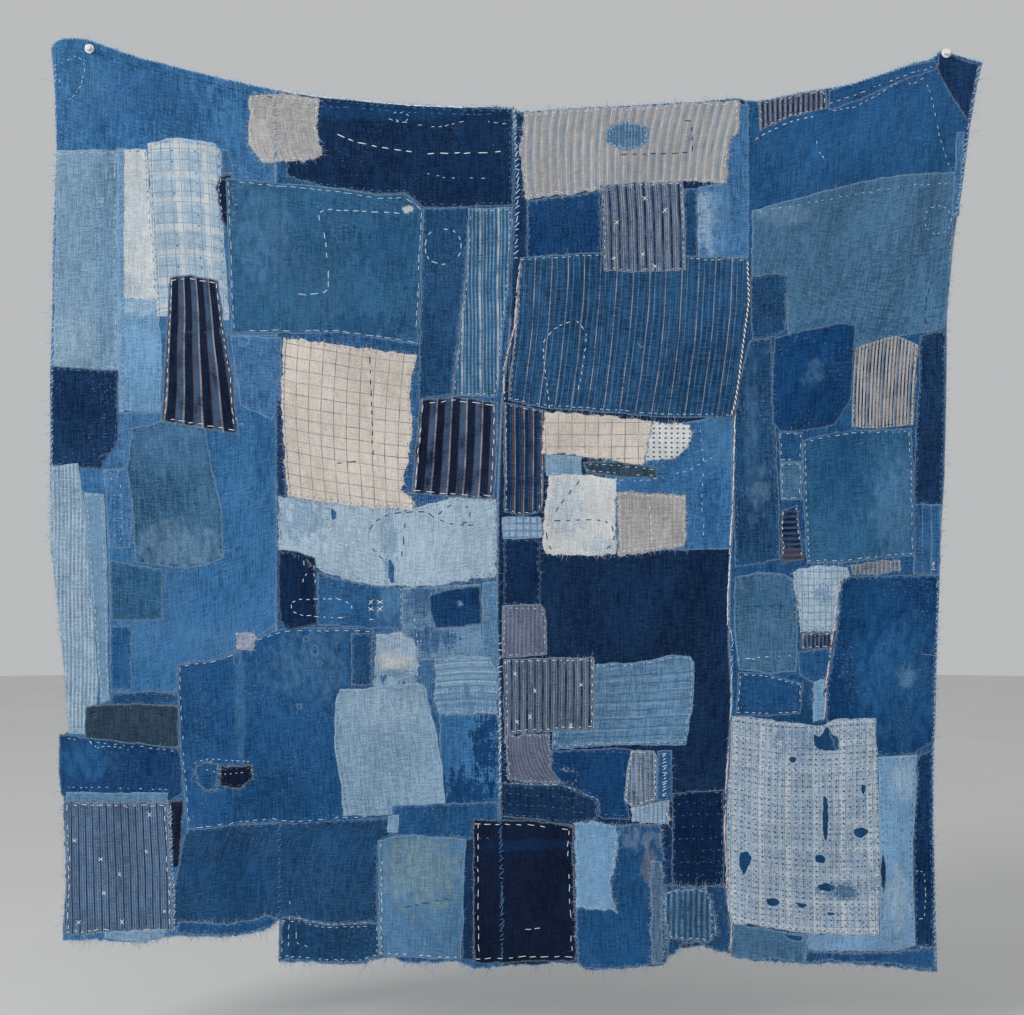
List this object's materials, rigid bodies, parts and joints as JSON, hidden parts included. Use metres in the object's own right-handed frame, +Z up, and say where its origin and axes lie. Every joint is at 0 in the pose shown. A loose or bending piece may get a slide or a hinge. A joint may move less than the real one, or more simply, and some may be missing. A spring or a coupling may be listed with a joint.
{
  "type": "patched cloth hanging on wall pins",
  "caption": "Patched indigo cotton hanging of joined loom widths, held near its top corners by push pins, with a sagging top edge and a ragged hem.",
  "frame": {"origin": "midway between the push pins, on the front face of the cloth where it lies flat under them", "axes": "+X to the right seen from the front, +Z up, the front of the cloth looks along -Y and the needles point along +Y"},
  "size_m": [1.3358, 0.0307, 1.3388],
  "materials": {
    "washed_cotton": "worn plain weave",
    "mid_cotton": "worn plain weave",
    "deep_cotton": "worn plain weave",
    "faded_cotton": "worn plain weave",
    "pin_plastic": "glossy, slightly clear",
    "pin_steel": "bright drawn"
  },
  "bodies": {
    "root": {"left_panel": "washed_cotton", "centre_left_panel": "mid_cotton", "centre_right_panel": "deep_cotton", "right_panel": "faded_cotton", "left_pin_grip": "pin_plastic", "left_pin_needle": "pin_steel", "right_pin_grip": "pin_plastic", "right_pin_needle": "pin_steel"}
  },
  "joints": []
}
